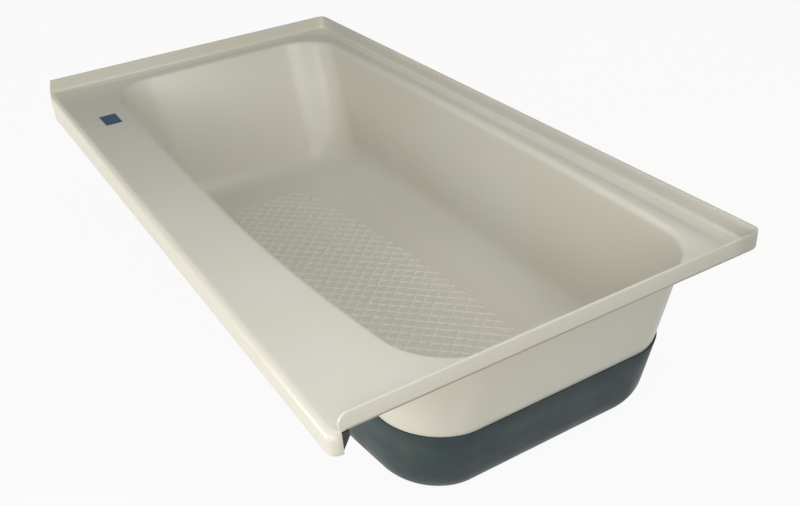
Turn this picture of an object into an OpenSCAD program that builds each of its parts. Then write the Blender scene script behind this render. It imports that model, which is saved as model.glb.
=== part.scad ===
// Drop-in bathtub for a recreational vehicle, formed from one plastic sheet, with its support
// pan, bedding, deck supports and floor drain.
// X runs along the tub towards the drain end, Y from the apron to the back wall, Z up.
// The origin is under the middle of the tub, on the surface that it stands on.

/* [Overall size] */
// Length over the two end flanges
tub_len = 1372; // [1300:1:1530]
// Width from the apron's face to the back flange's face
tub_w = 686; // [640:1:780]
// Height of the floor's lowest place above the surface that the tub stands on
floor_room = 34; // [34:1:60]
// Thickness of the formed sheet
sheet_t = 3.5; // [2.5:0.1:4.5]

/* [Deck and flanges] */
// Width of the front deck, from the apron's face to the basin's wall at its widest
front_deck = 114; // [100:1:150]
// Width of the back ledge, from the flange's face to the basin's wall
back_ledge = 50; // [36:1:70]
// Width of the ledge at the end with the sloping back rest
far_ledge = 58; // [36:1:80]
// Width of the ledge at the drain end
near_ledge = 32; // [26:1:60]
// Radius of the deck's roll into the basin
lip_r = 12; // [8:0.5:16]
// Height of the upstand that goes behind the wall panels
upstand_h = 28; // [20:1:40]
// Corner radius of the upstand in plan, at the back
back_corner_r = 15; // [8:1:25]
// Radius of the upstand's top corner, at the front of the drain end
end_round_r = 24; // [10:1:26]
// Height of the apron at the end with the back rest
apron_far_h = 56; // [35:1:70]
// Height of the apron at the drain end
apron_near_h = 31; // [28:1:70]
// Radius of the bend between the deck and the apron
bend_r = 12; // [8:0.5:16]
// Corner radius of the apron in plan
front_corner_r = 13; // [10:0.5:16]

/* [Basin] */
// Depth of the basin at the drain end
basin_depth = 270; // [250:1:300]
// Fall of the floor from the back rest to the drain end
floor_fall = 8; // [4:0.5:12]
// Slope of the back rest from the upright, in degrees
rest_tilt = 26; // [15:0.5:32]
// Slope of the drain end's wall, in degrees
near_tilt = 13; // [5:0.5:16]
// Slope of the front wall, in degrees
front_tilt = 2; // [1:0.5:8]
// Slope of the back wall, in degrees
back_tilt = 5; // [2:0.5:8]
// Radius between the walls and the floor
floor_r = 65; // [50:1:75]
// Corner radius of the basin at the deck
basin_corner_r = 95; // [85:1:110]
// Share of the floor radius that its corners tighten by
corner_tighten = 0.5; // [0.4:0.05:0.6]
// Distance of the basin's widest place from the back rest's end of the tub
widest_at = 740; // [640:5:840]
// How far the front wall draws in towards the drain end
front_bow_near = 48; // [20:1:60]
// How far the front wall draws in towards the back rest
front_bow_far = 13; // [4:1:30]
// How far the back wall draws in towards the drain end
back_bow_near = 17; // [4:1:30]
// How far the back wall draws in towards the back rest
back_bow_far = 4; // [2:1:20]

/* [Support pan and bedding] */
// Thickness of the support pan
pan_t = 2.5; // [1.5:0.1:3.5]
// Depth of the pan's top edge below the deck
pan_edge_depth = 157; // [120:1:190]
// How much wider the pan's rounding is than the floor's, measured on the pan's outside
pan_round_more = 9; // [4:1:20]
// Line of adhesive between bonded pieces
bond = 0.3; // [0.2:0.05:0.4]
// Thickness of the bottom board
board_t = 12; // [6:0.5:12]
// Margin between the bottom board and the pan's rounding
board_margin = 1; // [0.5:0.5:4]
// Margin between the bedding and the floor's rounding
bed_margin = 2; // [1:0.5:10]
// Radius of the opening under the drain
access_r = 62; // [56:1:66]

/* [Deck supports] */
// Thickness of the board under the front deck
deck_board_t = 9; // [6:0.5:15]
// Distance from the deck board's ends to the tub's ends
deck_board_end = 20; // [14:1:60]
// Width of the rail behind the apron, at its top
rail_top_w = 24; // [18:0.5:26]
// Width of the rail at its bottom
rail_foot_w = 14.5; // [9:0.5:16]
// Height of the rail
rail_h = 25; // [15:0.5:26]
// Height of the rail's upright back before it tapers
rail_back_h = 8; // [4:0.5:14]

/* [Drain] */
// Distance of the drain from the drain end of the tub
drain_from_end = 252; // [220:1:300]
// Distance of the drain from the apron's face
drain_from_front = 375; // [340:1:400]
// Radius of the dish around the drain
dish_r = 46; // [44:0.5:48]
// Depth of the dish
dish_depth = 4; // [3:0.5:5]
// Radius of the drain's flange
drain_flange_r = 41; // [36:0.5:43]
// Thickness of the drain's flange
drain_flange_t = 2.5; // [2:0.1:3]
// Outer radius of the drain's threaded outlet
outlet_r = 24; // [23.5:0.1:24.5]
// Inner radius of the outlet
outlet_bore_r = 20; // [19:0.1:20.5]
// Radius at the top of the stopper's seat
seat_r = 26; // [25:0.1:27]
// Depth of the stopper's seat
seat_depth = 8; // [6:0.5:9]
// Clearance of the outlet in the tub, the gaskets and the nut
outlet_clear = 0.1; // [0.05:0.05:0.4]
// Length of the outlet, from the flange's underside to its end
outlet_len = 30.9; // [29.5:0.1:31.5]
// Length of the thread at the outlet's end, for the trap's slip nut
outlet_thread = 9.5; // [8:0.5:11]
// Depth of the relief between the outlet's two threads
outlet_relief = 0.5; // [0.3:0.1:1]
// Length of the upper thread below the locknut
thread_tail = 1; // [0.5:0.5:1.5]
// Thickness of the seal under the flange
top_seal_t = 1; // [0.5:0.1:1.5]
// Outer radius of the gasket and the friction washer
gasket_r = 38; // [34:0.5:42]
// Thickness of the gasket
gasket_t = 3; // [2:0.1:3.5]
// Thickness of the friction washer
washer_t = 1; // [0.5:0.1:1.5]
// Radius of the locknut's collar
nut_r = 31; // [28:0.5:34]
// Height of the locknut
nut_h = 9; // [7:0.5:10]
// Number of wrench lugs on the locknut
nut_lugs = 8; // [4:1:12]
// Depth and width of a wrench lug
nut_lug = 5; // [3:0.5:8]
// Distance from the flange's top down to the guide's cross
cross_drop = 12; // [11:0.5:13]
// Height of the guide's cross
cross_h = 5; // [4:0.5:6]
// Width of an arm of the cross
cross_arm = 3; // [2:0.5:4]
// Radius of the hub in the cross
hub_r = 7; // [5:0.5:9]

/* [Stopper] */
// Travel of the stopper from shut to open
stopper_lift = 10; // [6:0.5:11]
// Radius of the stopper's cap
cap_r = 30; // [28:0.5:33]
// Height of the cap's crown
cap_h = 7; // [5:0.5:10]
// Thickness of the cap's rim
cap_rim_t = 2; // [1.5:0.1:3]
// Radius of the boss under the cap
boss_r = 12; // [10:0.5:14]
// Length of the boss under the cap
boss_h = 7; // [5:0.5:8]
// Height of the stopper's seal
stopper_seal_h = 4.2; // [3:0.1:5]
// Radius of the stem
stem_r = 3; // [2.5:0.1:4]
// Running clearance of the stem in the hub
stem_run = 0.05; // [0.02:0.01:0.1]
// Radius of the clip at the stem's end
clip_r = 5.5; // [5:0.5:7]
// Thickness of the clip
clip_t = 1.2; // [0.8:0.1:2]
// Length of stem below the clip
stem_tail = 1.4; // [0.6:0.1:2]
// Gap between the stopper and what it rests on or stops at
rest_gap = 0.3; // [0.2:0.05:0.4]

/* [Label] */
// Length of the label
label_l = 56; // [40:1:80]
// Width of the label
label_w = 33; // [20:1:45]
// Thickness of the label
label_t = 0.4; // [0.2:0.1:0.8]
// Distance of the label's middle from the back rest's end of the tub
label_from_end = 250; // [200:1:900]
// Distance of the label's middle from the apron's face
label_from_front = 70; // [50:1:78]

/* [Hidden] */
$fn = 96;

// Steps in a corner of the basin, along its short and long sides, and down its profile
corner_steps = 10;
short_steps = 3;
long_steps = 7;
lip_steps = 4;
wall_steps = 2;
floor_steps = 7;
eps = 0.01;
overlap = 2;

half_l = tub_len / 2;
half_w = tub_w / 2;
deck_h = basin_depth + floor_room;

// The basin's walls where they would meet the deck's plane
x_near = half_l - near_ledge;
x_far = -half_l + far_ledge;
y_front = -half_w + front_deck;
y_back = half_w - back_ledge;
x_widest = -half_l + widest_at;

// Wall slopes in the order near, back, far, front
tilts = [near_tilt, back_tilt, rest_tilt, front_tilt];
FRONT = 3;

// Sheet surfaces, counted outwards from the basin's inner face
tub_outside = sheet_t;
pan_inside = sheet_t + bond;
pan_outside = pan_inside + pan_t;

// The pan's bottom follows one centre for its inner and outer rounding
pan_depth = deck_h - pan_outside;
pan_round = floor_r + pan_round_more - pan_outside;

drain_x = half_l - drain_from_end;
drain_y = -half_w + drain_from_front;

// A profile point is [inset from the wall line, depth below the deck]
function lip_centre(tilt) = lip_r * (1 / cos(tilt) - tan(tilt));
function lip_point(tilt, side, t) = let (turn = t * (90 - tilt))
    [(lip_r - side) * sin(turn) - lip_centre(tilt), lip_r - (lip_r - side) * cos(turn)];
function foot_inset(tilt, depth, radius) = (depth - radius) * tan(tilt) + radius / cos(tilt);
function foot_point(tilt, side, depth, radius, t) = let (turn = tilt + t * (90 - tilt))
    [foot_inset(tilt, depth, radius) - (radius + side) * cos(turn),
    depth - radius + (radius + side) * sin(turn)];
function wall_point(tilt, side, depth) = [depth * tan(tilt) - side / cos(tilt), depth];
function mix(a, b, t) = a * (1 - t) + b * t;

// Corner radius of a level, from its front inset: it tightens less over the floor's rounding
function level_r(inset, side, depth, radius) =
    let (wall_end = foot_point(front_tilt, side, depth, radius, 0)[0])
    basin_corner_r - min(inset, wall_end) - corner_tighten * max(0, inset - wall_end);

// A level is a closed loop of [x, y, depth] from four profile points, one for each wall
function corner_centre(c, pts, r) = [
    c < 2 ? x_near - pts[0][0] - r : x_far + pts[2][0] + r,
    c == 1 || c == 2 ? y_back - pts[1][0] - r : y_front + pts[FRONT][0] + r];
function corner_point(c, u, pts, r) = let (a = 90 * (c + u - 1))
    corner_centre(c, pts, r) + r * [cos(a), sin(a)];
function side_steps(c) = c % 2 == 0 ? short_steps : long_steps;
function level(pts, r) = [for (c = [0:3]) each concat(
    [for (j = [0:corner_steps]) let (u = j / corner_steps, p = corner_point(c, u, pts, r))
        [p.x, p.y, mix(pts[(c + 3) % 4][1], pts[c][1], u)]],
    [for (j = [1:side_steps(c) - 1]) let (v = j / side_steps(c),
        p = mix(corner_point(c, 1, pts, r), corner_point((c + 1) % 4, 0, pts, r), v))
        [p.x, p.y, pts[c][1]]])];

// The long walls are bowed: they draw in from the widest place towards both ends
function draw_in(x, near, far) = x > x_widest
    ? near * pow((x - x_widest) / (x_near - x_widest), 2)
    : far * pow((x_widest - x) / (x_widest - x_far), 2);
function bowed(p) = let (t = (p.y - y_front) / (y_back - y_front))
    [p.x, p.y + (1 - t) * draw_in(p.x, front_bow_near, front_bow_far)
        - t * draw_in(p.x, back_bow_near, back_bow_far), p[2]];

// The floor falls evenly, so every depth shrinks a little towards the back rest
x_floor_near = x_near - foot_inset(near_tilt, basin_depth, floor_r);
x_floor_far = x_far + foot_inset(rest_tilt, basin_depth, floor_r);
function fall_at(x) = 1 - floor_fall / basin_depth * (x_floor_near - x) / (x_floor_near - x_floor_far);
function floor_z(x) = deck_h - basin_depth * fall_at(x);

function placed(loop, sloped) = [for (q = loop) let (p = bowed(q))
    [p.x, p.y, deck_h - p[2] * (sloped ? fall_at(p.x) : 1)]];
function ring(pts, side, depth, radius, sloped) =
    placed(level(pts, level_r(pts[FRONT][0], side, depth, radius)), sloped);

// All levels of one face of the tub, from the deck's roll down to the flat floor
function tub_rings(side) = concat(
    [for (k = [0:lip_steps]) ring([for (a = tilts) lip_point(a, side, k / lip_steps)],
        side, basin_depth, floor_r, true)],
    [for (k = [1:wall_steps - 1]) ring([for (a = tilts)
        mix(lip_point(a, side, 1), foot_point(a, side, basin_depth, floor_r, 0), k / wall_steps)],
        side, basin_depth, floor_r, true)],
    [for (k = [0:floor_steps]) ring([for (a = tilts)
        foot_point(a, side, basin_depth, floor_r, k / floor_steps)],
        side, basin_depth, floor_r, true)]);

// All levels of one face of the pan, from its top edge down to its flat bottom
function pan_rings(side) = concat(
    [ring([for (a = tilts) wall_point(a, side, pan_edge_depth)], side, pan_depth, pan_round, false)],
    [for (k = [0:floor_steps]) ring([for (a = tilts)
        foot_point(a, side, pan_depth, pan_round, k / floor_steps)],
        side, pan_depth, pan_round, false)]);

// The flat part of the tub's floor or the pan's bottom in plan, drawn in by a margin
function flat_ring(depth, radius, sloped, margin) =
    ring([for (a = tilts) [foot_inset(a, depth, radius) + margin, depth]],
        0, depth, radius, sloped);

// The deck's edge has a point for each point of a level
function edge_centre(c, r) = [
    (c < 2 ? 1 : -1) * (half_l - sheet_t / 2 - r),
    c == 1 || c == 2 ? half_w - sheet_t / 2 - r : -half_w + bend_r + r];
function edge_r(c) = c == 1 || c == 2 ? back_corner_r - sheet_t / 2 : overlap;
function edge_point(c, u) = let (a = 90 * (c + u - 1))
    edge_centre(c, edge_r(c)) + edge_r(c) * [cos(a), sin(a)];
function deck_edge(z) = [for (c = [0:3]) each concat(
    [for (j = [0:corner_steps]) let (p = edge_point(c, j / corner_steps)) [p.x, p.y, z]],
    [for (j = [1:side_steps(c) - 1])
        let (p = mix(edge_point(c, 1), edge_point((c + 1) % 4, 0), j / side_steps(c)))
        [p.x, p.y, z]])];

function backwards(list) = [for (i = [len(list) - 1:-1:0]) list[i]];

// A closed skin over a list of loops with the same number of points, capped at both ends
module skin(rings) {
    n = len(rings[0]);
    polyhedron(
        points = [for (r = rings) each r],
        faces = concat(
            [[for (j = [n - 1:-1:0]) j]],
            [for (k = [0:len(rings) - 2]) for (j = [0:n - 1]) each [
                [k * n + j, (k + 1) * n + (j + 1) % n, (k + 1) * n + j],
                [k * n + j, k * n + (j + 1) % n, (k + 1) * n + (j + 1) % n]]],
            [[for (j = [0:n - 1]) (len(rings) - 1) * n + j]]));
}

// Plan of the tub's outline, drawn in by an offset
module plan(inset) {
    front_r = front_corner_r - inset;
    back_r = back_corner_r - inset;
    x_end = half_l - inset;
    y_low = -half_w + inset;
    y_high = half_w - inset;
    translate([-x_end + front_r, y_low]) square([2 * (x_end - front_r), tub_w / 2]);
    translate([-x_end, y_low + front_r]) square([2 * x_end, y_high - back_r - y_low - front_r]);
    translate([-x_end + back_r, 0]) square([2 * (x_end - back_r), y_high]);
    for (s = [-1, 1]) {
        translate([s * (x_end - front_r), y_low + front_r]) circle(front_r);
        translate([s * (x_end - back_r), y_high - back_r]) circle(back_r);
    }
}

// Section across the front of the deck, drawn in by an offset, as far back as reach
module front_section(inset, low, reach) {
    r = bend_r - inset;
    translate([inset, low]) square([reach - inset, deck_h - bend_r - low]);
    translate([bend_r, deck_h - bend_r - eps]) square([reach - bend_r, r + eps]);
    translate([bend_r, deck_h - bend_r]) intersection() {
        circle(r);
        translate([-r, 0]) square(r);
    }
}

// The front section runs along the tub and turns its corners with the plan
module front_form(inset, low, reach) {
    intersection() {
        translate([-half_l, -half_w, 0]) rotate([90, 0, 90])
            linear_extrude(tub_len) front_section(inset, low, reach);
        translate([0, 0, low]) linear_extrude(deck_h - low) plan(inset);
    }
}

// The apron's lower edge rises from the back rest's end to the drain end
module apron() {
    low = deck_h - max(apron_far_h, apron_near_h);
    difference() {
        front_form(0, low, front_corner_r);
        front_form(sheet_t, low - overlap, front_corner_r + overlap);
        translate([0, -half_w + front_corner_r + overlap, 0]) rotate([90, 0, 0])
            linear_extrude(front_corner_r + 2 * overlap) polygon([
                [-half_l - overlap, 0], [half_l + overlap, 0],
                [half_l + overlap, deck_h - apron_near_h],
                [-half_l - overlap, deck_h - apron_far_h]]);
    }
}

module upstand() {
    difference() {
        translate([0, 0, deck_h - sheet_t]) linear_extrude(upstand_h + sheet_t) difference() {
            plan(0);
            plan(sheet_t);
            translate([-tub_len, -tub_w]) square([2 * tub_len, half_w + front_corner_r - overlap]);
        }
        translate([half_l, -half_w + front_corner_r - overlap, deck_h + upstand_h]) rotate([90, 0, -90])
            linear_extrude(2 * sheet_t + overlap, center = true) difference() {
                translate([-end_round_r, -end_round_r]) square(end_round_r + overlap);
                translate([-end_round_r, -end_round_r]) circle(end_round_r);
            }
    }
}

dish_z = floor_z(drain_x) - dish_depth;

module tub_shell() {
    rise = sheet_t + dish_depth;
    color("#d9d5c3") difference() {
        union() {
            skin(concat(backwards(tub_rings(0)), [deck_edge(deck_h)],
                [deck_edge(deck_h - sheet_t)], tub_rings(tub_outside)));
            apron();
            upstand();
            translate([drain_x, drain_y, dish_z - sheet_t]) cylinder(r = dish_r + sheet_t, h = rise);
        }
        translate([drain_x, drain_y, dish_z]) cylinder(r = dish_r, h = rise + overlap);
        translate([drain_x, drain_y, dish_z - rise])
            cylinder(r = outlet_r + outlet_clear, h = 2 * rise);
    }
}

module support_pan() {
    color("#43555c") difference() {
        skin(concat(backwards(pan_rings(pan_inside)), pan_rings(pan_outside)));
        translate([drain_x, drain_y, -overlap]) cylinder(r = access_r, h = pan_t + 2 * overlap);
    }
}

board_z = pan_t + bond;
bed_z = board_z + board_t + bond;

module bottom_board() {
    outline = flat_ring(pan_depth, pan_round, false, board_margin);
    color("#b58d5c") difference() {
        translate([0, 0, board_z]) linear_extrude(board_t)
            polygon([for (p = outline) [p.x, p.y]]);
        translate([drain_x, drain_y, board_z - overlap]) cylinder(r = access_r, h = board_t + 2 * overlap);
    }
}

module foam_bedding() {
    top = flat_ring(basin_depth, floor_r, true, bed_margin);
    drop = sheet_t + bond;
    color("#e2d6a6") difference() {
        skin([[for (p = top) [p.x, p.y, p.z - drop]], [for (p = top) [p.x, p.y, bed_z]]]);
        translate([drain_x, drain_y, 0]) cylinder(r = access_r, h = deck_h);
    }
}

under_deck = deck_h - sheet_t - bond;
behind_apron = sheet_t + bond;

module deck_board() {
    front = -half_w + behind_apron + rail_top_w + bond;
    back = y_front - lip_centre(front_tilt) - bond;
    color("#b58d5c")
        translate([-half_l + deck_board_end, front, under_deck - deck_board_t])
        cube([tub_len - 2 * deck_board_end, back - front, deck_board_t]);
}

// The rail's back tapers below an upright part
module front_rail() {
    foot = under_deck - rail_h;
    color("#3a3d3c") difference() {
        front_form(behind_apron, foot, behind_apron + rail_top_w);
        translate([-half_l, -half_w + behind_apron, 0]) rotate([90, 0, 90])
            linear_extrude(tub_len) polygon([
                [rail_foot_w, foot - overlap], [rail_foot_w, foot],
                [rail_top_w, under_deck - rail_back_h],
                [rail_top_w + overlap, under_deck - rail_back_h],
                [rail_top_w + overlap, foot - overlap]]);
    }
}

module label_plate() {
    color("#43586f")
        translate([-half_l + label_from_end, -half_w + label_from_front, deck_h + label_t / 2])
        cube([label_l, label_w, label_t], center = true);
}

flange_z = dish_z + top_seal_t;
drain_top = flange_z + drain_flange_t;
gasket_z = dish_z - sheet_t - gasket_t;
washer_z = gasket_z - washer_t;
nut_z = washer_z - nut_h;
cross_z = drain_top - cross_drop - cross_h;
clip_z = cross_z - stopper_lift - rest_gap - clip_t;
outlet_z = flange_z - outlet_len;

module at_drain(z) {
    translate([drain_x, drain_y, z]) children();
}

module flat_collar(inner, outer, height) {
    difference() {
        cylinder(r = outer, h = height);
        translate([0, 0, -overlap]) cylinder(r = inner, h = height + 2 * overlap);
    }
}

module drain_body() {
    edge = drain_flange_t / 2;
    relief_r = outlet_r - outlet_relief;
    relief_low = outlet_z + outlet_thread;
    relief_top = nut_z - thread_tail;
    color("#dcd8c8") at_drain(0) {
        rotate_extrude() polygon([
            [outlet_bore_r, outlet_z], [outlet_r, outlet_z], [outlet_r, relief_low],
            [relief_r, relief_low], [relief_r, relief_top], [outlet_r, relief_top], [outlet_r, flange_z],
            [drain_flange_r, flange_z], [drain_flange_r, flange_z + edge],
            [drain_flange_r - 2 * edge, drain_top], [seat_r, drain_top],
            [outlet_bore_r, drain_top - seat_depth]]);
        translate([0, 0, cross_z]) {
            flat_collar(stem_r + stem_run, hub_r, cross_h);
            for (a = [0:90:270]) rotate(a) translate([hub_r - 1, -cross_arm / 2, 0])
                cube([outlet_bore_r - hub_r + 2, cross_arm, cross_h]);
        }
    }
}

module drain_top_seal() {
    color("#2b2b2b") at_drain(dish_z)
        flat_collar(outlet_r + outlet_clear, drain_flange_r - 1, top_seal_t);
}

module drain_gasket() {
    color("#26282a") at_drain(gasket_z)
        flat_collar(outlet_r + outlet_clear, gasket_r, gasket_t);
}

module friction_washer() {
    color("#a9794b") at_drain(washer_z)
        flat_collar(outlet_r + outlet_clear, gasket_r, washer_t);
}

module drain_locknut() {
    color("#e6e2d4") at_drain(nut_z) {
        flat_collar(outlet_r + outlet_clear, nut_r, nut_h);
        for (i = [0:nut_lugs - 1]) rotate(360 / nut_lugs * i)
            translate([nut_r - 1, -nut_lug / 2, 0]) cube([nut_lug + 1, nut_lug, nut_h]);
    }
}

cap_z = drain_top + rest_gap;

module stopper_cap() {
    color("#dcd8c8") at_drain(cap_z) difference() {
        rotate_extrude() polygon(concat(
            [[0, -boss_h], [boss_r, -boss_h], [boss_r, 0], [cap_r, 0], [cap_r, cap_rim_t]],
            [for (t = [15:15:90]) [cap_r * cos(t), cap_rim_t + (cap_h - cap_rim_t) * sin(t)]]));
        translate([0, 0, -boss_h - overlap]) cylinder(r = stem_r, h = boss_h + overlap);
    }
}

module stopper_seal() {
    slope = (seat_r - outlet_bore_r) / seat_depth;
    gap = 2 * rest_gap;
    top_r = seat_r - gap - slope;
    low_r = seat_r - gap - slope * stopper_seal_h;
    color("#26282a") at_drain(cap_z) rotate_extrude() polygon([
        [boss_r, -stopper_seal_h], [low_r, -stopper_seal_h], [top_r, -1], [top_r, 0], [boss_r, 0]]);
}

module stopper_stem() {
    low = clip_z - stem_tail;
    color("#c9c9c6") at_drain(low) difference() {
        cylinder(r = stem_r, h = cap_z - low);
        translate([0, 0, stem_tail]) flat_collar(stem_r - clip_t / 2, stem_r + overlap, clip_t);
    }
}

module stem_clip() {
    color("#9a9c9e") at_drain(clip_z) difference() {
        flat_collar(stem_r - clip_t / 2, clip_r, clip_t);
        translate([0, -stem_r / 2, -overlap]) cube([2 * clip_r, stem_r, clip_t + 2 * overlap]);
    }
}

tub_shell();
support_pan();
bottom_board();
foam_bedding();
deck_board();
front_rail();
label_plate();
drain_body();
drain_top_seal();
drain_gasket();
friction_washer();
drain_locknut();
stopper_cap();
stopper_seal();
stopper_stem();
stem_clip();
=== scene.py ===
import math

import bmesh
import bpy
from mathutils import Matrix


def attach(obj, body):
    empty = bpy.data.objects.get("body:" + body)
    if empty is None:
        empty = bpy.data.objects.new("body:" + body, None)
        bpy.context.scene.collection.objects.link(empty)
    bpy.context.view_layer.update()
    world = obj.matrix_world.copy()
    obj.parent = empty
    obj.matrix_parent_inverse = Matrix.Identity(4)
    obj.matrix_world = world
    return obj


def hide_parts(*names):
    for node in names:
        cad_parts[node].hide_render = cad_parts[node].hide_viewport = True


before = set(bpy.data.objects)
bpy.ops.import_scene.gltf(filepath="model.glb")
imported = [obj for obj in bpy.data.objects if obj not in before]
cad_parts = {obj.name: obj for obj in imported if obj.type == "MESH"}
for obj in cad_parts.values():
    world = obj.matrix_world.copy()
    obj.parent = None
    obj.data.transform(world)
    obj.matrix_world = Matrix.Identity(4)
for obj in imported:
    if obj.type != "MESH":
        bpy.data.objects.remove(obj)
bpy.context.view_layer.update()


# The formed tub is one sheet of glossy cream plastic, drawn over a mould: apron, deck, upstand,
# basin and drain dish in one piece, trimmed round its edge. The sheet is laid out as loops from
# the trimmed edge inwards, and then gets its thickness on the underside. Sizes are in millimetres.
sheet_t = 3.5
half_l, half_w = 686.0, 343.0
deck_h, basin_depth, floor_fall = 304.0, 270.0, 8.0

# The basin's mouth, and its walls' tilts at the near end, the back, the back rest and the front
x_near, x_far, y_front, y_back = 654.0, -628.0, -229.0, 293.0
wall_tilts = [13.0, 5.0, 26.0, 2.0]
lip_r, floor_r, basin_corner_r, corner_tighten = 12.0, 65.0, 95.0, 0.5

# The long sides bow out, and draw in this far at the near and the far end
x_widest, front_draw, back_draw = 54.0, (48.0, 13.0), (17.0, 4.0)
corner_steps, side_steps = 20, [14, 26, 14, 26]


def sin(angle):
    return math.sin(math.radians(angle))


def cos(angle):
    return math.cos(math.radians(angle))


def tan(angle):
    return math.tan(math.radians(angle))


def between(a, b, t):
    return a + (b - a) * t


def lip_point(tilt, t):
    # Inset and depth of a point on the rounded lip, from the deck at 0 to the wall at 1
    turn = t * (90 - tilt)
    start = lip_r * (1 / cos(tilt) - tan(tilt))
    return lip_r * sin(turn) - start, lip_r - lip_r * cos(turn)


def foot_inset(tilt, depth, radius):
    # How far in from the mouth the wall's rounded foot meets the floor
    return (depth - radius) * tan(tilt) + radius / cos(tilt)


def foot_point(tilt, depth, radius, t, side=0.0):
    # Inset and depth of a point on the rounded foot, pushed outwards by side
    turn = tilt + t * (90 - tilt)
    return (foot_inset(tilt, depth, radius) - (radius + side) * cos(turn),
            depth - radius + (radius + side) * sin(turn))


def draw_in(x, near, far):
    # A parabola on either side of the basin's widest place
    if x > x_widest:
        return near * ((x - x_widest) / (x_near - x_widest)) ** 2
    return far * ((x_widest - x) / (x_widest - x_far)) ** 2


def bowed(x, y):
    t = (y - y_front) / (y_back - y_front)
    return y + (1 - t) * draw_in(x, *front_draw) - t * draw_in(x, *back_draw)


def floor_share(x):
    # The floor falls towards the drain, so that depths shrink towards the back rest
    near = x_near - foot_inset(wall_tilts[0], basin_depth, floor_r)
    far = x_far + foot_inset(wall_tilts[2], basin_depth, floor_r)
    return 1 - floor_fall / basin_depth * (near - x) / (near - far)


def floor_z(x):
    return deck_h - basin_depth * floor_share(x)


def loop_columns():
    # Each column is a corner and its turn, or a side and the way along it; the two columns where
    # the upstand meets the apron come twice
    columns = []
    for c in range(4):
        turns = [(c, j / corner_steps, None) for j in range(corner_steps + 1)]
        sides = [(c, None, j / side_steps[c]) for j in range(1, side_steps[c])]
        if c == 0:
            turns.append(turns[-1])
        if c == 3:
            turns.insert(0, turns[0])
        columns += turns + sides
    return columns


columns = loop_columns()


def basin_loop(points, depth, radius, side=0.0, sloped=True):
    # A level of the basin from its four profile points (inset, depth below the deck)
    wall_end = foot_point(wall_tilts[3], depth, radius, 0, side)[0]
    inset = points[3][0]
    r = basin_corner_r - min(inset, wall_end) - corner_tighten * max(0.0, inset - wall_end)
    ring = []

    def corner(c, u):
        cx = x_near - points[0][0] - r if c < 2 else x_far + points[2][0] + r
        cy = y_back - points[1][0] - r if c in (1, 2) else y_front + points[3][0] + r
        angle = 90 * (c + u - 1)
        return cx + r * cos(angle), cy + r * sin(angle)

    for c, u, v in columns:
        if v is None:
            x, y = corner(c, u)
            drop = between(points[(c + 3) % 4][1], points[c][1], u)
        else:
            (xa, ya), (xb, yb) = corner(c, 1), corner((c + 1) % 4, 0)
            x, y, drop = between(xa, xb, v), between(ya, yb, v), points[c][1]
        y = bowed(x, y)
        ring.append((x, y, deck_h - drop * (floor_share(x) if sloped else 1)))
    return ring


# Outline of the tub, with the flange's profile at each place: it turns down at the front as the
# apron and up at the back and ends as the upstand. The four corners are near front, near back,
# far back and far front.
plan_rs, bend_r, cove_r = [13.5, 15.0, 15.0, 11.6], 11.5, 5.5
upstand_h, apron_far_h, apron_near_h = 28.0, 56.0, 31.0
near_round_r, far_round_r, near_front_drop = 14.0, 1.0, 2.0
end_stops = [0.8, 2.2, 4.2, 7.0, 10.3, 14.0]


def outline_point(c, u, v):
    # A place on the outline in plan, and the direction that points outwards there
    def corner(c, u):
        r = plan_rs[c]
        cx = (half_l - r) * (1 if c < 2 else -1)
        cy = (half_w - r) * (1 if c in (1, 2) else -1)
        angle = 90 * (c + u - 1)
        return cx + r * cos(angle), cy + r * sin(angle), cos(angle), sin(angle)
    if v is None:
        return corner(c, u)
    xa, ya, nx, ny = corner(c, 1)
    xb, yb = corner((c + 1) % 4, 0)[:2]
    if c % 2 == 0:
        step = round(v * side_steps[c])
        rest = side_steps[c] - len(end_stops)
        k = step if c == 0 else side_steps[c] - step
        length = abs(yb - ya)
        if k <= len(end_stops):
            way = end_stops[k - 1]
        else:
            way = between(end_stops[-1], length, (k - len(end_stops)) / rest)
        v = way / length if c == 0 else 1 - way / length
    return between(xa, xb, v), between(ya, yb, v), nx, ny


straight_steps, arc_steps = [0.0, 0.35, 0.7, 1.0], 7


def flange_loops():
    # The levels run at even heights, and stop at the trimmed edge where that is lower
    loops = [[] for _ in range(len(straight_steps) + arc_steps)]
    for i, (c, u, v) in enumerate(columns):
        x, y, nx, ny = outline_point(c, u, v)
        twin = i > 0 and columns[i - 1] == columns[i]
        before_twin = i + 1 < len(columns) and columns[i + 1] == columns[i]
        front = (c == 3 and v is not None) or (v is None and c in (0, 3))
        if c == 0 and twin or c == 3 and before_twin:
            front = False
        if front:
            edge = between(apron_far_h, apron_near_h, (x + half_l) / (2 * half_l))
            r, start, way = bend_r, 0, -1
        else:
            edge = upstand_h
            r, start, way = cove_r, sheet_t, 1
            reach = y + half_w - plan_rs[0 if x > 0 else 3]
            round_r = near_round_r if x > 0 else far_round_r
            if x > half_l - 1:
                edge -= near_front_drop * (half_w - y) / (2 * half_w)
            if reach < round_r:
                edge += math.sqrt(round_r ** 2 - (round_r - reach) ** 2) - round_r
        full = upstand_h if way > 0 else edge
        steps = [(start, between(full, r, t)) for t in straight_steps]
        steps += [(start + r * (1 - cos(90 * k / arc_steps)), r * (1 - sin(90 * k / arc_steps)))
                  for k in range(1, arc_steps + 1)]
        for k, (inset, height) in enumerate(steps):
            if height > edge or k == 0:
                height = edge
                inset = start + r - math.sqrt(r * r - (r - edge) ** 2) if edge < r else start
            loops[k].append((x - nx * inset, y - ny * inset, deck_h + way * height))
    return loops


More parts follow.
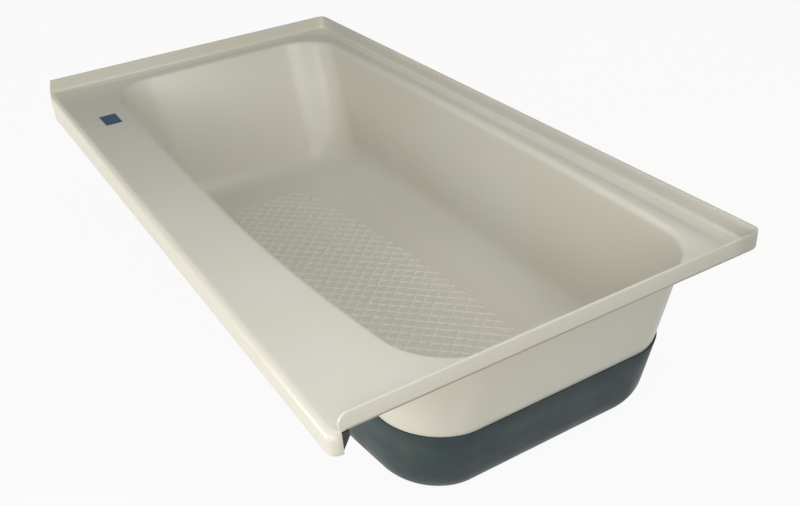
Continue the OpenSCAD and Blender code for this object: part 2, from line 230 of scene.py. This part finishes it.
def ledge_loop(outer, inner, share, drop):
    # A level of the shallow gutter that runs along the ledges at the back and the ends
    ring = []
    for (c, u, v), a, b in zip(columns, outer, inner):
        if v is None:
            depth = drop * {0: u, 3: 1 - u}.get(c, 1)
        else:
            depth = 0 if c == 3 else drop
        ring.append((between(a[0], b[0], share), between(a[1], b[1], share),
                     between(a[2], b[2], share) - depth))
    return ring


# The floor's raised lattice has a border that tapers towards the back rest
lattice_near, lattice_far, near_corner_r, far_corner_r = 504.0, -390.0, 46.0, 34.0
lattice_back, lattice_front, taper_back, taper_front = 169.0, -113.0, 70.0, 36.0
taper_start, taper_power = 318.0, 2.2


def lattice_side(x, back, margin):
    taper = max(0.0, (taper_start - x) / (taper_start - lattice_far)) ** taper_power
    if back:
        return lattice_back - taper_back * taper - margin
    return lattice_front + taper_front * taper + margin


def lattice_loop(margin):
    near, far = lattice_near - margin, lattice_far + margin
    ring = []

    def corner(c, u):
        r = near_corner_r if c < 2 else far_corner_r
        cx = near - r if c < 2 else far + r
        back = c in (1, 2)
        cy = lattice_side(cx, back, margin) - (r if back else -r)
        angle = 90 * (c + u - 1)
        return cx + r * cos(angle), cy + r * sin(angle)

    for c, u, v in columns:
        if v is None:
            x, y = corner(c, u)
        else:
            (xa, ya), (xb, yb) = corner(c, 1), corner((c + 1) % 4, 0)
            x, y = between(xa, xb, v), between(ya, yb, v)
            if c in (1, 3):
                y = lattice_side(x, c == 1, margin)
        ring.append((x, y, floor_z(x)))
    return ring


def deselect():
    if bpy.context.object and bpy.context.object.mode != "OBJECT":
        bpy.ops.object.mode_set(mode="OBJECT")
    bpy.ops.object.select_all(action="DESELECT")


def only(piece):
    deselect()
    piece.select_set(True)
    bpy.context.view_layer.objects.active = piece


def loft(name, loops):
    # A circle is extruded once for each loop, and each level's points are then laid in place
    count = len(loops[0])
    deselect()
    bpy.ops.mesh.primitive_circle_add(vertices=count, radius=1, location=(0, 0, 0))
    piece = bpy.context.object
    piece.name = piece.data.name = name
    level_h = 0.01
    bpy.ops.object.mode_set(mode="EDIT")
    bpy.ops.mesh.select_all(action="SELECT")
    for _ in loops[1:]:
        bpy.ops.mesh.extrude_region_move(TRANSFORM_OT_translate={"value": (0, 0, -level_h)})
    bpy.ops.object.mode_set(mode="OBJECT")
    first = math.atan2(piece.data.vertices[0].co.y, piece.data.vertices[0].co.x)
    for point in piece.data.vertices:
        level = round(-point.co.z / level_h)
        turn = math.atan2(point.co.y, point.co.x) - first
        place = round(turn / (2 * math.pi) * count) % count
        point.co = [value / 1000 for value in loops[level][place]]
    return piece


def turn_faces_up(piece, place):
    # The face nearest to a place that should look up tells whether the sheet is inside out
    mesh = piece.data
    nearest = min(mesh.polygons,
                  key=lambda f: sum((a - b / 1000) ** 2 for a, b in zip(f.center, place)))
    if nearest.normal.z < 0:
        mesh.flip_normals()


def modify(piece, kind, **settings):
    only(piece)
    modifier = piece.modifiers.new(kind.title(), kind)
    for key, value in settings.items():
        setattr(modifier, key, value)
    bpy.ops.object.modifier_apply(modifier=modifier.name)


flange = flange_loops()
lip = [basin_loop([lip_point(a, k / 7) for a in wall_tilts], basin_depth, floor_r)
       for k in range(8)]
foot = [basin_loop([foot_point(a, basin_depth, floor_r, k / 12) for a in wall_tilts],
                   basin_depth, floor_r) for k in range(13)]
wall = []
for k in range(1, 6):
    wall.append(basin_loop([tuple(between(p, q, k / 6) for p, q in zip(
        lip_point(a, 1), foot_point(a, basin_depth, floor_r, 0))) for a in wall_tilts],
        basin_depth, floor_r))
gutter = [(0.1, 0.05), (0.2, 0.8), (0.32, 1.6), (0.45, 1.8), (0.54, 1.1), (0.61, 0.3), (0.69, 0.0)]
ledge = [ledge_loop(flange[-1], lip[0], share, drop) for share, drop in gutter]
border = [lattice_loop(margin) for margin in (-5, 0, 4)]
tub = loft("tub_sheet", flange + ledge + lip + wall + foot + border)

# The dish round the drain is a set of round loops, stepped down with soft edges
drain_x, drain_y, dish_depth, dish_edge, drain_hole_r = 434.0, 32.0, 4.0, 2.0, 24.1
dish_top_r, dish_low_r = 48.5, 44.5
dish_z = floor_z(drain_x) - dish_depth
dish_steps = [(64.0, 0.0), (60.0, 0.0), (52.0, 0.0)]
dish_steps += [(dish_top_r - dish_edge * sin(a), dish_edge - dish_edge * cos(a))
               for a in (0, 30, 60, 90)]
dish_steps += [(dish_low_r + dish_edge * cos(a), dish_edge + dish_edge * sin(a))
               for a in (30, 60, 90)]
dish_steps += [(34.0, dish_depth), (drain_hole_r, dish_depth)]
round_steps = 72


def dish_loop(r, drop):
    ring = []
    for j in range(round_steps):
        x, y = drain_x + r * cos(360 / round_steps * j), drain_y + r * sin(360 / round_steps * j)
        ring.append((x, y, between(floor_z(x), dish_z, drop / dish_depth)))
    return ring


dish = loft("drain_dish", [dish_loop(r, drop) for r, drop in dish_steps])
deselect()
dish.select_set(True)
tub.select_set(True)
bpy.context.view_layer.objects.active = tub
bpy.ops.object.join()


def drain_distance(co):
    return math.hypot(co.x * 1000 - drain_x, co.y * 1000 - drain_y)


def select_edges(piece, wanted):
    bpy.ops.mesh.select_mode(type="EDGE")
    bpy.ops.mesh.select_all(action="DESELECT")
    form = bmesh.from_edit_mesh(piece.data)
    for edge in form.edges:
        if wanted(edge):
            edge.select_set(True)
    bmesh.update_edit_mesh(piece.data)


def select_faces(piece, wanted):
    bpy.ops.mesh.select_mode(type="FACE")
    bpy.ops.mesh.select_all(action="DESELECT")
    form = bmesh.from_edit_mesh(piece.data)
    for face in form.faces:
        if wanted(face):
            face.select_set(True)
    bmesh.update_edit_mesh(piece.data)


def capped(name, section, axis, ends):
    # A short bar: its section is lofted from one end to the other, and both ends are closed
    bar = loft(name, [section(end) for end in ends])
    only(bar)
    bpy.ops.object.mode_set(mode="EDIT")
    for end in ends:
        select_edges(bar, lambda e: all(abs(v.co[axis] * 1000 - end) < 0.01 for v in e.verts))
        bpy.ops.mesh.edge_face_add()
    bpy.ops.mesh.select_all(action="SELECT")
    bpy.ops.mesh.normals_make_consistent(inside=False)
    bpy.ops.object.mode_set(mode="OBJECT")
    return bar


# Faces that touch are kept apart by a hair, because they would flicker
hair, post_w = 0.1, 2.8


def corner_post(end):
    # At both front corners a short post of the same sheet joins the apron's return to the upstand
    low = between(apron_far_h, apron_near_h, (end + 1) / 2)
    rise = upstand_h - (near_round_r + near_front_drop if end > 0 else far_round_r) - hair
    if rise > cove_r:
        rise = cove_r - hair
    start = math.degrees(math.asin((cove_r - rise) / cove_r))
    turns = [between(start, 90, k / 6) for k in range(7)]
    profile = [(hair / 2, rise)]
    profile += [(sheet_t + cove_r * (1 - cos(a)) + hair, cove_r * (1 - sin(a)) - hair)
                for a in turns]
    profile += [(bend_r, -hair), (bend_r, -sheet_t)]
    profile += [(bend_r - (bend_r - sheet_t) * sin(a), (bend_r - sheet_t) * cos(a) - bend_r)
                for a in range(0, 91, 15)]
    profile += [(sheet_t, -low), (hair / 2, -low)]
    front = -half_w + plan_rs[0 if end > 0 else 3] + hair
    return capped("corner_post",
                  lambda y: [(end * (half_l - inset), y, deck_h + z) for inset, z in profile],
                  1, (front, front + post_w))


def end_cheek():
    # At the back rest's end the upstand runs on down, in front of the bend, and dies into the apron
    profile = [(15, 28), (10.6, 28), (6.5, 14), (4.3, 2), (3.2, -8), (3.4, -15), (5.2, -24),
               (8.4, -34), (11.6, -44), (15, -44)]
    return capped("end_cheek", lambda x: [(x, y - half_w, deck_h + z) for y, z in profile],
                  0, (hair / 2 - half_l, sheet_t - hair - half_l))


# The deck's doubled columns close up, and the flange opens between its upstand and its apron
only(tub)
bpy.ops.object.mode_set(mode="EDIT")


def skewed(face):
    # The faces without width that join the upstand's columns to the apron's
    top = max(v.co.z for v in face.verts)
    low = min(v.co.z for v in face.verts)
    middle = face.calc_center_median()
    seam = plan_rs[0 if middle.x > 0 else 3] - half_w
    narrow = all(abs(v.co.y * 1000 - seam) < 0.02 for v in face.verts)
    return narrow and abs(middle.x) * 1000 > half_l - 13 and top - low > 0.00005


select_faces(tub, skewed)
bpy.ops.mesh.delete(type="FACE")
bpy.ops.mesh.select_all(action="SELECT")
bpy.ops.mesh.remove_doubles(threshold=0.00002)

# The floor between the lattice's edge and the dish is filled, and the lattice's lines are cut
select_edges(tub, lambda e: e.is_boundary and e.verts[0].co.z < 0.06
             and drain_distance(e.verts[0].co) > 40)
bpy.ops.mesh.fill(use_beauty=True)
bpy.ops.object.mode_set(mode="OBJECT")
bpy.ops.object.material_slot_add()
bpy.ops.object.material_slot_add()


dish_clear_r = 60


def inside_lattice(x, y, margin):
    # Within the lattice's border and off the drain's dish, give or take 1 mm
    if math.hypot(x - drain_x, y - drain_y) < dish_clear_r + margin:
        return False
    r = near_corner_r if x > 0 else far_corner_r
    cx = min(max(x, lattice_far + margin + r), lattice_near - margin - r)
    low, high = lattice_side(cx, False, margin), lattice_side(cx, True, margin)
    if cx == x:
        return low - 1 < y < high + 1
    return math.hypot(x - cx, y - min(max(y, low + r), high - r)) < r + 1


tread = tub.vertex_groups.new(name="tread")
for face in tub.data.polygons:
    x, y, z = [value * 1000 for value in face.center]
    if abs(z - floor_z(x)) < 0.3 and inside_lattice(x, y, 0):
        face.material_index = 1
full = {v.index for v in tub.data.vertices if abs(v.co.z * 1000 - floor_z(v.co.x * 1000)) < 0.3
        and inside_lattice(v.co.x * 1000, v.co.y * 1000, 3.0)}
tread.add(sorted(full), 1.0, "REPLACE")
tread.add([v.index for v in tub.data.vertices if v.index not in full], 0.0, "REPLACE")

# The lattice's lines run both ways at 45 degrees, each cut at its two feet and its crest's edges
lattice_pitch, line_half, crest_half, line_h = 20.2, 2.6, 0.9, 1.7
diagonal = math.sqrt(0.5)
only(tub)
bpy.ops.object.mode_set(mode="EDIT")
tub.active_material_index = 1

def filling(edge):
    # An edge across the lattice's zone that is only there to fill it, unlike its two rims
    if not edge.is_manifold or any(f.material_index != 1 for f in edge.link_faces):
        return False
    sizes = sorted(len(f.verts) for f in edge.link_faces)
    return sizes != [3, 4]

select_edges(tub, filling)
bpy.ops.mesh.mark_seam(clear=False)
for turn in (1, -1):
    for k in range(-30, 31):
        for shift in (-line_half, -crest_half, crest_half, line_half):
            way = k * lattice_pitch + shift
            low, high = (-390, 490) if turn == 1 else (-420, 450)
            if not low < way < high:
                continue
            bpy.ops.mesh.select_all(action="DESELECT")
            bpy.ops.object.material_slot_select()
            across = (diagonal, turn * diagonal, 0)
            bpy.ops.mesh.bisect(plane_co=[way / 1000 * part for part in across],
                                plane_no=across, threshold=1e-6)
select_edges(tub, lambda e: e.seam)
bpy.ops.mesh.dissolve_edges(use_verts=True)
bpy.ops.object.mode_set(mode="OBJECT")

# The crests keep a share of their own for the material, which paints them lighter as a painted
# highlight
crest = tub.data.attributes.new("crest", "FLOAT", "POINT")
outside = {i for face in tub.data.polygons if face.material_index == 0
           for i in face.vertices}

def line_share(way):
    off = abs((way + lattice_pitch / 2) % lattice_pitch - lattice_pitch / 2)
    return 1.0 if off < crest_half + 0.1 else 0.0

for point in tub.data.vertices:
    weight = sum(g.weight for g in point.groups if g.group == tread.index)
    if weight > 0 and point.index not in outside:
        x, y = point.co.x * 1000, point.co.y * 1000
        across, along = line_share((x + y) * diagonal), line_share((x - y) * diagonal)
        point.co.z += max(across, along) * weight * line_h / 1000
        crest.data[point.index].value = max(0.55 * across, along) * weight
only(tub)
bpy.ops.object.mode_set(mode="EDIT")
bpy.ops.mesh.select_all(action="SELECT")
bpy.ops.mesh.normals_make_consistent(inside=False)
bpy.ops.object.mode_set(mode="OBJECT")
turn_faces_up(tub, (0, -300, deck_h))
tub.vertex_groups.clear()
for face in tub.data.polygons:
    face.material_index = 0

# The thickness goes on the underside, and its rim, the trimmed edge, gets the second material: a
# lighter cream, a painted highlight along the edge
sheet_points = len(tub.data.vertices)
modify(tub, "SOLIDIFY", thickness=sheet_t / 1000, offset=-1, use_even_offset=True, use_rim=True,
       material_offset_rim=1)
for i, point in enumerate(tub.data.vertices):
    # The sheet's underside stays smooth beneath the lattice
    above = tub.data.vertices[i - sheet_points].co
    x, y, z = [value * 1000 for value in above]
    if i >= sheet_points and inside_lattice(x, y, -8) and -1 < z - floor_z(x) < 2:
        point.co = above.x, above.y, (floor_z(x) - sheet_t) / 1000
    point.co.x = max(-half_l / 1000, min(half_l / 1000, point.co.x))
    point.co.y = max(-half_w / 1000, min(half_w / 1000, point.co.y))

# The posts and the cheek become part of the sheet, and its sharp edges are broken
posts = [corner_post(1), corner_post(-1), end_cheek()]
only(tub)
for post in posts:
    post.select_set(True)
bpy.ops.object.join()
modify(tub, "BEVEL", width=0.0007, segments=2, limit_method="ANGLE", angle_limit=math.radians(55))
only(tub)
bpy.ops.object.shade_smooth_by_angle(angle=math.radians(38))


def hexa(code):
    # A colour as a maker's swatch gives it, turned into light
    parts = [int(code[i:i + 2], 16) / 255 for i in (1, 3, 5)]
    return tuple(p / 12.92 if p <= 0.04045 else ((p + 0.055) / 1.055) ** 2.4 for p in parts) + (1,)


class Finish:
    # A material on Object coordinates, built up node by node
    def __init__(self, name, colour, roughness, **sockets):
        self.material = bpy.data.materials.new(name)
        self.material.use_nodes = True
        self.nodes = self.material.node_tree.nodes
        self.links = self.material.node_tree.links
        self.shader = self.nodes["Principled BSDF"]
        self.shader.inputs["Base Color"].default_value = hexa(colour)
        self.shader.inputs["Roughness"].default_value = roughness
        for socket, value in sockets.items():
            self.shader.inputs[socket.replace("_", " ")].default_value = value
        self.place = self.nodes.new("ShaderNodeTexCoord").outputs["Object"]
        self.normal = None

    def stretched(self, scale):
        node = self.nodes.new("ShaderNodeMapping")
        node.inputs["Scale"].default_value = scale
        self.links.new(self.place, node.inputs["Vector"])
        return node.outputs["Vector"]

    def noise(self, scale, detail=3.0, rough=0.5, place=None):
        node = self.nodes.new("ShaderNodeTexNoise")
        node.inputs["Scale"].default_value = scale
        node.inputs["Detail"].default_value = detail
        node.inputs["Roughness"].default_value = rough
        self.links.new(place or self.place, node.inputs["Vector"])
        return node.outputs["Fac"]

    def ramp(self, value, stops):
        node = self.nodes.new("ShaderNodeValToRGB")
        ramp = node.color_ramp
        while len(ramp.elements) < len(stops):
            ramp.elements.new(0.5)
        for element, (where, colour) in zip(ramp.elements, stops):
            element.position = where
            element.color = hexa(colour) if isinstance(colour, str) else (colour, colour, colour, 1)
        self.links.new(value, node.inputs["Fac"])
        return node.outputs["Color"]

    def bump(self, height, strength, distance):
        node = self.nodes.new("ShaderNodeBump")
        node.inputs["Strength"].default_value = strength
        node.inputs["Distance"].default_value = distance
        self.links.new(height, node.inputs["Height"])
        if self.normal:
            self.links.new(self.normal, node.inputs["Normal"])
        self.normal = node.outputs["Normal"]
        self.links.new(self.normal, self.shader.inputs["Normal"])

    def maths(self, operation, a, b):
        node = self.nodes.new("ShaderNodeMath")
        node.operation = operation
        for socket, value in zip(node.inputs, (a, b)):
            if isinstance(value, (int, float)):
                socket.default_value = value
            else:
                self.links.new(value, socket)
        return node.outputs[0]

    def fade(self, value, start, end, first, last):
        # A share that changes evenly from one place to another, and stays the same beyond them
        node = self.nodes.new("ShaderNodeMapRange")
        self.links.new(value, node.inputs["Value"])
        for socket, number in zip(("From Min", "From Max", "To Min", "To Max"),
                                  (start, end, first, last)):
            node.inputs[socket].default_value = number
        return node.outputs["Result"]

    def mixed(self, factor, tone, other):
        node = self.nodes.new("ShaderNodeMix")
        node.data_type = "RGBA"
        self.links.new(factor, node.inputs["Factor"])
        self.links.new(tone, node.inputs["A"])
        node.inputs["B"].default_value = hexa(other)
        return node.outputs["Result"]

    def colour(self, value):
        self.links.new(value, self.shader.inputs["Base Color"])

    def rough(self, value):
        self.links.new(value, self.shader.inputs["Roughness"])


def cream_finish(name, shades, face):
    # The sheet's faces get a painted highlight on the lattice's crests and painted shade under the
    # upstands' bends and on the back ledge; the trimmed edge gets none of these
    finish = Finish(name, shades[1], 0.3, Specular_IOR_Level=0.4, Coat_Weight=0.2,
                    Coat_Roughness=0.18)
    tone = finish.ramp(finish.noise(2.6, 2, 0.45), list(zip((0.3, 0.5, 0.7), shades)))
    if face:
        # Painted highlight: the lattice's crests are painted lighter
        crest_highlight = finish.nodes.new("ShaderNodeAttribute")
        crest_highlight.attribute_name = "crest"
        tone = finish.mixed(crest_highlight.outputs["Fac"], tone, "#e9e3d3")
        # Painted shade: the bend under the upstands is painted darker, on its outer side and behind
        # the apron
        apart = finish.nodes.new("ShaderNodeSeparateXYZ")
        finish.links.new(finish.place, apart.inputs[0])
        x, y, z = apart.outputs

        def outer_side(way, half):
            # Above 0 past the bend's start, beyond a slanting line midway in the sheet's thickness
            middle = half - sheet_t - cove_r
            line = middle - (deck_h + cove_r) + 8.5
            slant = finish.maths("SUBTRACT", finish.maths("SUBTRACT", way, z), line / 1000)
            past = finish.maths("SUBTRACT", way, (middle - 0.5) / 1000)
            return finish.maths("MINIMUM", past, slant)

        outer = finish.maths("MAXIMUM", outer_side(finish.maths("ABSOLUTE", x, 0), half_l),
                             outer_side(y, half_w))
        bend_shade = finish.maths("MULTIPLY", finish.maths("GREATER_THAN", outer, 0),
                             finish.fade(z, 0.3055, 0.309, 1.0, 0.0))
        bend_shade = finish.maths("MULTIPLY", bend_shade, finish.maths("GREATER_THAN", y, -0.322))
        tone = finish.mixed(bend_shade, tone, "#857c66")
        # Painted shade: the ledge and the upstand at the back are painted darker in patches, mostly
        # towards the drain
        patchy = finish.ramp(finish.noise(9, 4, 0.6), [(0.3, 0.75), (0.7, 1.0)])
        ledge_shade = finish.maths("MULTIPLY", finish.fade(y, 0.285, 0.31, 0.0, 0.55), patchy)
        ledge_shade = finish.maths("MULTIPLY", ledge_shade, finish.fade(x, -0.4, 0.2, 0.1, 1.0))
        ledge_shade = finish.maths("MULTIPLY", ledge_shade, finish.maths("GREATER_THAN", z, 0.2985))
        tone = finish.mixed(ledge_shade, tone, "#b2b1a9")
    finish.colour(tone)
    finish.rough(finish.ramp(finish.noise(6, 3, 0.5), [(0.3, 0.285), (0.7, 0.35)]))
    finish.bump(finish.noise(4.5, 1, 0.3), 0.12, 0.004)
    finish.bump(finish.noise(320, 1, 0.4), 0.012, 0.0005)
    return finish


cream = cream_finish("cream_sheet", ("#d3cfc0", "#d6d2c3", "#d8d5c9"), True)
# The trimmed edge is painted a lighter cream than the faces, a painted highlight along it
edge_highlight = cream_finish("trimmed_edge_highlight", ("#f1eee4", "#f4f1e8", "#f6f4ec"), False)
tub.data.materials.clear()
tub.data.materials.append(cream.material)
tub.data.materials.append(edge_highlight.material)
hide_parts("tub_shell")
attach(tub, "tub")


# The support pan is a dark slate-grey tray of thicker plastic, formed to the tub's underside and
# bonded to it; it carries the weight of the floor.
pan_t, bond, pan_edge_depth, pan_r = 2.5, 0.3, 157.0, 74.0
access_r = 62.0                              # the hole that lets a wrench reach the drain
pan_out = sheet_t + bond + pan_t
pan_depth, pan_round = deck_h - pan_out, pan_r - pan_out


def pan_wall_point(tilt, side):
    # Inset and depth of the pan's top edge, outside the basin's wall
    return pan_edge_depth * tan(tilt) - side / cos(tilt), pan_edge_depth


def pan_loop(points):
    return basin_loop(points, pan_depth, pan_round, pan_out, False)


pan_foot = [pan_loop([foot_point(a, pan_depth, pan_round, k / 12, pan_out) for a in wall_tilts])
            for k in range(13)]
pan_top = pan_loop([pan_wall_point(a, pan_out) for a in wall_tilts])
pan_mid = [[tuple(between(a, b, k / 3) for a, b in zip(p, q)) for p, q in zip(pan_top, pan_foot[0])]
           for k in (1, 2)]
pan = loft("dark_pan", [pan_top] + pan_mid + pan_foot)
only(pan)
bpy.ops.object.mode_set(mode="EDIT")
bpy.ops.mesh.select_all(action="SELECT")
bpy.ops.mesh.remove_doubles(threshold=0.00002)
bpy.ops.mesh.select_mode(type="VERT")
bpy.ops.mesh.select_all(action="DESELECT")
bpy.ops.mesh.primitive_circle_add(vertices=round_steps, radius=access_r / 1000,
                                  location=(drain_x / 1000, drain_y / 1000, 0))
select_edges(pan, lambda e: (e.is_boundary or e.is_wire) and e.verts[0].co.z < 0.001)
bpy.ops.mesh.fill(use_beauty=True)
bpy.ops.mesh.select_all(action="SELECT")
bpy.ops.mesh.normals_make_consistent(inside=False)
bpy.ops.object.mode_set(mode="OBJECT")
turn_faces_up(pan, (0, 0, 0))
pan.data.flip_normals()                      # the loops lie on the outside, so they face down
bpy.ops.object.material_slot_add()
bpy.ops.object.material_slot_add()
modify(pan, "SOLIDIFY", thickness=pan_t / 1000, offset=-1, use_even_offset=True, use_rim=True,
       material_offset_rim=1)
modify(pan, "BEVEL", width=0.0006, segments=2, limit_method="ANGLE", angle_limit=math.radians(55))
only(pan)
bpy.ops.object.shade_smooth_by_angle(angle=math.radians(38))
slate = Finish("slate_pan", "#364449", 0.4, Specular_IOR_Level=0.13)
slate.colour(slate.ramp(slate.noise(7, 6, 0.62),
                        [(0.3, "#333f44"), (0.5, "#3b474a"), (0.72, "#49534f")]))
slate.rough(slate.ramp(slate.noise(18, 5, 0.6), [(0.3, 0.34), (0.7, 0.5)]))
slate.bump(slate.noise(12, 3, 0.5), 0.35, 0.004)
slate.bump(slate.noise(260, 3, 0.6), 0.12, 0.0008)
sawn = Finish("sawn_slate", "#7c8787", 0.6)
sawn.colour(sawn.ramp(sawn.noise(120, 4, 0.6), [(0.3, "#6f7a7b"), (0.7, "#8a9494")]))
sawn.bump(sawn.noise(500, 2, 0.5), 0.2, 0.0004)
pan.data.materials.clear()
pan.data.materials.append(slate.material)
pan.data.materials.append(sawn.material)
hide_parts("support_pan")
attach(pan, "tub")


def dress(node, finish):
    # A CAD solid that stays gets its real finish
    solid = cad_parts[node]
    solid.data.materials.clear()
    solid.data.materials.append(finish.material)


# The bottom board and the deck board are plywood: pale softwood faces, with the plies' dark glue
# lines along the sawn edges. They are bonded under the floor and under the front deck.
plywood = Finish("plywood", "#b98f5f", 0.62)
grain = plywood.noise(3.2, 8, 0.65, plywood.stretched((1.2, 22, 22)))
plywood.colour(plywood.ramp(grain, [(0.25, "#9c7145"), (0.5, "#bd9463"), (0.75, "#cfaa7b")]))
plywood.bump(plywood.noise(60, 4, 0.6, plywood.stretched((1, 14, 14))), 0.3, 0.0008)
dress("bottom_board", plywood)
dress("deck_board", plywood)

# The bedding under the floor is poured foam, pale yellow and full of fine cells. It fills the wedge
# between the bottom board and the sloping floor, and sticks to both.
foam = Finish("bedding_foam", "#ddd0a0", 0.9)
foam.colour(foam.ramp(foam.noise(24, 6, 0.7),
                      [(0.3, "#cdbd86"), (0.55, "#ddd0a0"), (0.8, "#e8deb6")]))
foam.bump(foam.noise(300, 4, 0.7), 0.6, 0.0015)
dress("foam_bedding", foam)

# The rail behind the apron is a black plastic extrusion, which stiffens the apron. It is bonded in
# from one end of the tub to the other.
rail = Finish("black_rail", "#2b2d2d", 0.5)
rail.colour(rail.ramp(rail.noise(40, 4, 0.6, rail.stretched((0.3, 1, 1))),
                      [(0.3, "#232525"), (0.7, "#343636")]))
rail.bump(rail.noise(500, 2, 0.5, rail.stretched((0.05, 1, 1))), 0.2, 0.0005)
dress("front_rail", rail)

# The label is a small plate of dark blue film, stuck on the deck towards the back rest's end. It
# is left bare.
film = Finish("label_film", "#35506f", 0.3)
film.colour(film.ramp(film.noise(60, 4, 0.6), [(0.3, "#304866"), (0.7, "#3b5778")]))
film.bump(film.noise(700, 2, 0.5), 0.1, 0.0003)
dress("label_plate", film)

# The drain's body and the stopper's cap are moulded in cream plastic, to match the tub. The body
# goes through the floor, and the cap sits on the stopper's stem.
fitting = Finish("drain_fitting", "#ddd8c8", 0.22)
fitting.colour(fitting.ramp(fitting.noise(30, 4, 0.6), [(0.3, "#d8d2c0"), (0.7, "#e1dccd")]))
fitting.bump(fitting.noise(600, 2, 0.5), 0.08, 0.0004)
dress("drain_body", fitting)
dress("stopper_cap", fitting)

# Seals and gasket are black rubber rings, with a dull, slightly grainy skin. Two are clamped
# against the floor with the drain, and one sits under the stopper's cap.
rubber = Finish("black_rubber", "#222324", 0.75)
rubber.colour(rubber.ramp(rubber.noise(80, 4, 0.6), [(0.3, "#1d1e1f"), (0.7, "#2a2b2c")]))
rubber.bump(rubber.noise(900, 3, 0.6), 0.3, 0.0004)
for node in ("drain_top_seal", "drain_gasket", "stopper_seal"):
    dress(node, rubber)

# The friction washer is pressed brown fibre. It lies between the gasket and the locknut, so that
# the nut turns without dragging the rubber round.
fibre = Finish("washer_fibre", "#9a6f46", 0.85)
fibre.colour(fibre.ramp(fibre.noise(220, 6, 0.7), [(0.3, "#875f3a"), (0.7, "#ab8055")]))
fibre.bump(fibre.noise(700, 4, 0.7), 0.5, 0.0006)
dress("friction_washer", fibre)

# The locknut is moulded in plain white plastic, with a satin skin. It screws up on the drain's
# body from below and clamps it to the floor.
nut = Finish("nut_plastic", "#e3dfd2", 0.4)
nut.colour(nut.ramp(nut.noise(40, 4, 0.6), [(0.3, "#ded9ca"), (0.7, "#e8e5da")]))
nut.bump(nut.noise(500, 2, 0.5), 0.15, 0.0005)
dress("drain_locknut", nut)

# The stem and its clip are stainless steel, turned and stamped. The stem slides in the drain's
# guide, and the clip keeps it there.
steel = Finish("stem_steel", "#c4c4c0", 0.28, Metallic=1.0)
steel.rough(steel.ramp(steel.noise(300, 3, 0.5, steel.stretched((1, 1, 12))),
                       [(0.3, 0.28), (0.7, 0.36)]))
steel.bump(steel.noise(900, 2, 0.5, steel.stretched((0.2, 0.2, 6))), 0.15, 0.0003)
dress("stopper_stem", steel)
dress("stem_clip", steel)


# The room has a pale plain floor and soft lamps, with the camera where the photograph was taken.
# The lowest lamp stays below the deck's level, so that it lights the apron alone.
deselect()
bpy.ops.mesh.primitive_plane_add(size=80, location=(0, 0, -0.0005))
ground = bpy.context.object
ground.name = "ground"
bpy.ops.object.transform_apply(location=True, rotation=True, scale=True)
paving = Finish("ground_pale", "#c0baac", 0.9)
paving.colour(paving.ramp(paving.noise(2, 3, 0.5), [(0.3, "#bcb6a8"), (0.7, "#c4beb0")]))
# Seen straight or in a reflection it is nearly white, and still takes a trace of the shadow
glow, glow_share = paving.nodes.new("ShaderNodeEmission"), 0.94
ray = paving.nodes.new("ShaderNodeLightPath").outputs
seen = paving.maths("MAXIMUM", ray["Is Camera Ray"], ray["Is Glossy Ray"])
seen = paving.maths("MAXIMUM", seen, ray["Is Transmission Ray"])
blend = paving.nodes.new("ShaderNodeMixShader")
paving.links.new(paving.maths("MULTIPLY", seen, glow_share), blend.inputs[0])
paving.links.new(paving.shader.outputs[0], blend.inputs[1])
paving.links.new(glow.outputs[0], blend.inputs[2])
paving.links.new(blend.outputs[0], paving.nodes["Material Output"].inputs["Surface"])
ground.data.materials.append(paving.material)

world = bpy.data.worlds.new("sky")
bpy.context.scene.world = world
world.use_nodes = True
backdrop = world.node_tree.nodes["Background"]
backdrop.inputs["Color"].default_value = (0.9, 0.96, 1, 1)
backdrop.inputs["Strength"].default_value = 0.24


def lamp(name, place, aim, size, power, colour=(1, 1, 1)):
    # A soft box at a place, level and turned towards what it lights
    deselect()
    bpy.ops.object.light_add(type="AREA", location=place)
    light = bpy.context.object
    light.name = name
    light.data.shape = "RECTANGLE"
    light.data.size, light.data.size_y = size
    light.data.energy = power
    light.data.color = colour
    direction = [b - a for a, b in zip(place, aim)]
    length = math.sqrt(sum(d * d for d in direction))
    back = [-d / length for d in direction]
    side = [-back[1], back[0], 0]
    width = math.sqrt(side[0] ** 2 + side[1] ** 2) or 1
    side = [s / width for s in side]
    up = [back[1] * side[2] - back[2] * side[1], back[2] * side[0] - back[0] * side[2],
          back[0] * side[1] - back[1] * side[0]]
    light.matrix_world = Matrix([*zip(side, up, back, place), (0, 0, 0, 1)])


lamp("side_softbox", (1.6, -1.3, 0.9), (0.1, 0, 0.2), (1.2, 0.9), 14.5)
lamp("end_softbox", (2.2, -0.2, 0.95), (-0.3, 0.05, 0.2), (1.2, 0.9), 3)
lamp("near_softbox", (0.8, 0, 1.25), (0.3, 0, 0), (0.9, 0.9), 5)
lamp("top_softbox", (0.1, 0.1, 1.5), (0.1, 0.05, 0), (0.9, 0.7), 3.4)
lamp("front_softbox", (0.4, -2.3, 1.05), (0.1, 0.1, 0.15), (1.6, 0.7), 10)
lamp("low_softbox", (-2.4, -4.4, 0.11), (0.2, -0.2, 0.11), (1, 0.2), 112, (1, 0.95, 0.83))

deselect()
bpy.ops.object.camera_add(location=(1.4369, -0.6384, 1.0122))
camera = bpy.context.object
camera.matrix_world = Matrix(((0.5100, -0.4084, 0.7570, 1.4369),
                              (0.8572, 0.3143, -0.4079, -0.6384),
                              (-0.0713, 0.8570, 0.5104, 1.0122), (0, 0, 0, 1)))
camera.data.sensor_fit = "HORIZONTAL"
camera.data.sensor_width = 36
camera.data.lens = 42.43
camera.data.clip_end = 100
bpy.context.scene.camera = camera
bpy.context.scene.view_settings.view_transform = "Standard"
